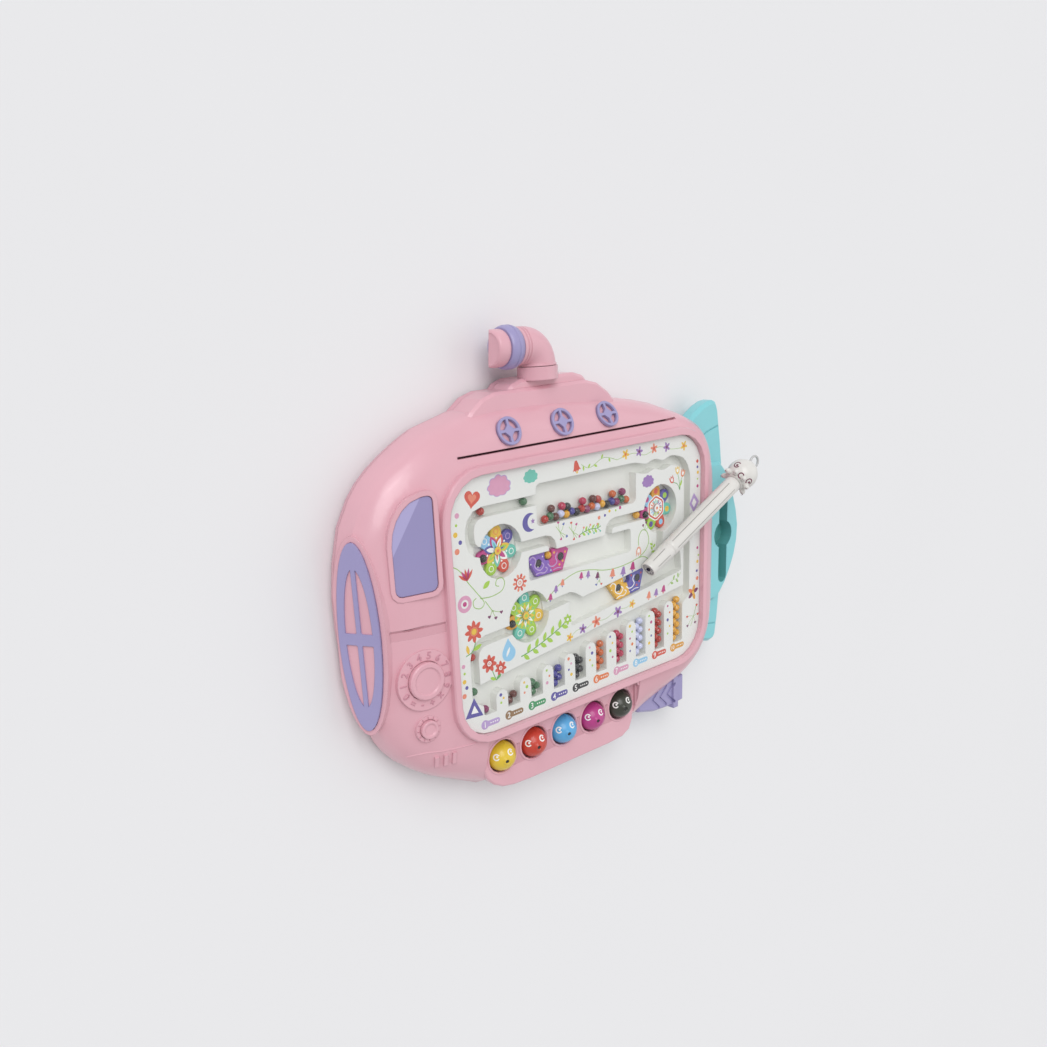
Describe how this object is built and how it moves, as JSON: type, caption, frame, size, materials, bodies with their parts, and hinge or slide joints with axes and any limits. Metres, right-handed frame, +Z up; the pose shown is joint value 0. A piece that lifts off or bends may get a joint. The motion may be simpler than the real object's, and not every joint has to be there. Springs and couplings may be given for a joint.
{
  "type": "magnetic maze board",
  "caption": "Submarine-shaped magnetic bead maze under a clear cover, with turning wheels, sliding carriers, lift-out fish, a periscope, folding legs and a magnetic pen.",
  "frame": {"origin": "on the ground plane, under the middle of the outline of the whole toy lying on its back with its legs folded", "axes": "+X towards the tail, +Y towards the periscope, +Z up out of the maze"},
  "size_m": [0.4197, 0.3493, 0.0729],
  "materials": {
    "pink_shell": "gloss",
    "purple_trim": "gloss",
    "teal_tail": "gloss",
    "white_maze": "satin",
    "clear_sheet": "clear",
    "ivory_plastic": "satin",
    "zinc_steel": "satin",
    "black_magnet": "matte",
    "white_pen": "gloss",
    "yellow_fish": "gloss",
    "red_fish": "gloss",
    "blue_fish": "gloss",
    "magenta_fish": "gloss",
    "olive_fish": "gloss",
    "yellow_wheel": "gloss",
    "teal_wheel": "gloss",
    "crimson_wheel": "gloss",
    "violet_sled": "gloss",
    "amber_sled": "gloss",
    "bead_plum": "gloss",
    "bead_brown": "gloss",
    "bead_green": "gloss",
    "bead_indigo": "gloss",
    "bead_black": "gloss",
    "bead_orange": "gloss",
    "bead_crimson": "gloss",
    "bead_lilac": "gloss",
    "bead_red": "gloss",
    "bead_amber": "gloss"
  },
  "bodies": {
    "board": {"front_shell": "pink_shell", "rear_shell": "pink_shell", "maze_tray": "white_maze", "clear_cover": "clear_sheet", "side_window": "purple_trim", "nose_window": "purple_trim", "tail_fin": "teal_tail", "thruster": "purple_trim", "drawing_frame": "ivory_plastic", "drawing_board": "white_maze", "porthole_1": "purple_trim", "porthole_2": "purple_trim", "porthole_3": "purple_trim", "case_screw_1": "zinc_steel", "case_screw_2": "zinc_steel", "case_screw_3": "zinc_steel", "case_screw_4": "zinc_steel", "wheel_axle_1": "zinc_steel", "wheel_axle_2": "zinc_steel", "wheel_axle_3": "zinc_steel"},
    "upper_left_leg": {"leg_1": "ivory_plastic"},
    "lower_left_leg": {"leg_2": "ivory_plastic"},
    "upper_right_leg": {"leg_3": "ivory_plastic"},
    "lower_right_leg": {"leg_4": "ivory_plastic"},
    "dial": {"dial_knob": "pink_shell"},
    "small_dial": {"small_knob": "pink_shell"},
    "periscope": {"periscope_elbow": "pink_shell", "periscope_ring": "purple_trim", "periscope_cap": "pink_shell"},
    "wheel_1": {"flower_wheel_1": "yellow_wheel"},
    "wheel_2": {"flower_wheel_2": "teal_wheel"},
    "wheel_3": {"flower_wheel_3": "crimson_wheel"},
    "first_carrier": {"carrier_1": "violet_sled", "carrier_magnet_1": "black_magnet", "carrier_magnet_2": "black_magnet", "carrier_bead": "bead_amber"},
    "second_carrier": {"carrier_2": "amber_sled", "carrier_magnet_3": "black_magnet", "carrier_magnet_4": "black_magnet"},
    "top_bead": {"channel_bead_1": "bead_red"},
    "side_bead": {"channel_bead_2": "bead_red"},
    "count_1": {"counting_beads_01": "bead_plum"},
    "count_2": {"counting_beads_02": "bead_brown"},
    "count_3": {"counting_beads_03": "bead_green"},
    "count_4": {"counting_beads_04": "bead_indigo"},
    "count_5": {"counting_beads_05": "bead_black"},
    "count_6": {"counting_beads_06": "bead_orange"},
    "count_7": {"counting_beads_07": "bead_crimson"},
    "count_8": {"counting_beads_08": "bead_lilac"},
    "count_9": {"counting_beads_09": "bead_red"},
    "count_10": {"counting_beads_10": "bead_amber"},
    "basin_heap": {"basin_beads": "bead_crimson"},
    "yellow_fish": {"fish_1": "yellow_fish"},
    "red_fish": {"fish_2": "red_fish"},
    "blue_fish": {"fish_3": "blue_fish"},
    "magenta_fish": {"fish_4": "magenta_fish"},
    "olive_fish": {"fish_5": "olive_fish"},
    "pen": {"pen_body": "white_pen", "pen_magnet": "zinc_steel", "pen_head": "white_pen"}
  },
  "joints": [
    {"name": "upper_left_leg_fold", "type": "hinge", "parent": "board", "child": "upper_left_leg", "pos_m": [-0.15855, 0.06177, 0.01], "axis": [0, 1, 0], "range_deg": [0, 90]},
    {"name": "lower_left_leg_fold", "type": "hinge", "parent": "board", "child": "lower_left_leg", "pos_m": [-0.15855, -0.10217, 0.01], "axis": [0, 1, 0], "range_deg": [0, 90]},
    {"name": "upper_right_leg_fold", "type": "hinge", "parent": "board", "child": "upper_right_leg", "pos_m": [0.12684, 0.06177, 0.01], "axis": [0, -1, 0], "range_deg": [0, 90]},
    {"name": "lower_right_leg_fold", "type": "hinge", "parent": "board", "child": "lower_right_leg", "pos_m": [0.12684, -0.10217, 0.01], "axis": [0, -1, 0], "range_deg": [0, 90]},
    {"name": "dial_turn", "type": "hinge", "parent": "board", "child": "dial", "pos_m": [-0.1626, -0.05919, 0.04482], "axis": [-0.0872, 0, 0.9962], "continuous": true},
    {"name": "small_dial_turn", "type": "hinge", "parent": "board", "child": "small_dial", "pos_m": [-0.1626, -0.09673, 0.04387], "axis": [-0.0872, 0, 0.9962], "continuous": true},
    {"name": "periscope_turn", "type": "hinge", "parent": "board", "child": "periscope", "pos_m": [-0.0276, 0.14276, 0.025], "axis": [0, 1, 0], "range_deg": [0, 180]},
    {"name": "wheel_1_spin", "type": "hinge", "parent": "board", "child": "wheel_1", "pos_m": [-0.08876, 0.01889, 0.038], "axis": [0, 0, 1], "continuous": true},
    {"name": "wheel_2_spin", "type": "hinge", "parent": "board", "child": "wheel_2", "pos_m": [-0.06445, -0.03659, 0.038], "axis": [0, 0, 1], "continuous": true},
    {"name": "wheel_3_spin", "type": "hinge", "parent": "board", "child": "wheel_3", "pos_m": [0.08337, 0.01967, 0.038], "axis": [0, 0, 1], "continuous": true},
    {"name": "first_carrier_slide", "type": "slide", "parent": "board", "child": "first_carrier", "axis": [1, 0, 0], "range_m": [0, 0.066]},
    {"name": "second_carrier_slide", "type": "slide", "parent": "board", "child": "second_carrier", "axis": [0.9916, 0.129, 0], "range_m": [-0.046, 0.042]},
    {"name": "top_bead_roll", "type": "slide", "parent": "board", "child": "top_bead", "axis": [1, 0, 0], "range_m": [0, 0.034]},
    {"name": "side_bead_roll", "type": "slide", "parent": "board", "child": "side_bead", "axis": [0, -1, 0], "range_m": [0, 0.019]},
    {"name": "count_1_slide", "type": "slide", "parent": "board", "child": "count_1", "axis": [0, 1, 0], "range_m": [0, 0.018]},
    {"name": "count_2_slide", "type": "slide", "parent": "board", "child": "count_2", "axis": [0, 1, 0], "range_m": [0, 0.0168]},
    {"name": "count_3_slide", "type": "slide", "parent": "board", "child": "count_3", "axis": [0, 1, 0], "range_m": [0, 0.0156]},
    {"name": "count_4_slide", "type": "slide", "parent": "board", "child": "count_4", "axis": [0, 1, 0], "range_m": [0, 0.0144]},
    {"name": "count_5_slide", "type": "slide", "parent": "board", "child": "count_5", "axis": [0, 1, 0], "range_m": [0, 0.0132]},
    {"name": "count_6_slide", "type": "slide", "parent": "board", "child": "count_6", "axis": [0, 1, 0], "range_m": [0, 0.0119]},
    {"name": "count_7_slide", "type": "slide", "parent": "board", "child": "count_7", "axis": [0, 1, 0], "range_m": [0, 0.0107]},
    {"name": "count_8_slide", "type": "slide", "parent": "board", "child": "count_8", "axis": [0, 1, 0], "range_m": [0, 0.0095]},
    {"name": "count_9_slide", "type": "slide", "parent": "board", "child": "count_9", "axis": [0, 1, 0], "range_m": [0, 0.0083]},
    {"name": "count_10_slide", "type": "slide", "parent": "board", "child": "count_10", "axis": [0, 1, 0], "range_m": [0, 0.007]},
    {"name": "basin_heap_shift", "type": "slide", "parent": "board", "child": "basin_heap", "axis": [1, 0, 0], "range_m": [-0.006, 0.0035]},
    {"name": "yellow_fish_lift", "type": "slide", "parent": "board", "child": "yellow_fish", "axis": [0, 0, 1], "range_m": [0, 0.06]},
    {"name": "red_fish_lift", "type": "slide", "parent": "board", "child": "red_fish", "axis": [0, 0, 1], "range_m": [0, 0.06]},
    {"name": "blue_fish_lift", "type": "slide", "parent": "board", "child": "blue_fish", "axis": [0, 0, 1], "range_m": [0, 0.06]},
    {"name": "magenta_fish_lift", "type": "slide", "parent": "board", "child": "magenta_fish", "axis": [0, 0, 1], "range_m": [0, 0.06]},
    {"name": "olive_fish_lift", "type": "slide", "parent": "board", "child": "olive_fish", "axis": [0, 0, 1], "range_m": [0, 0.06]},
    {"name": "pen_lift", "type": "slide", "parent": "board", "child": "pen", "axis": [0, 0, 1], "range_m": [0, 0.06]}
  ]
}
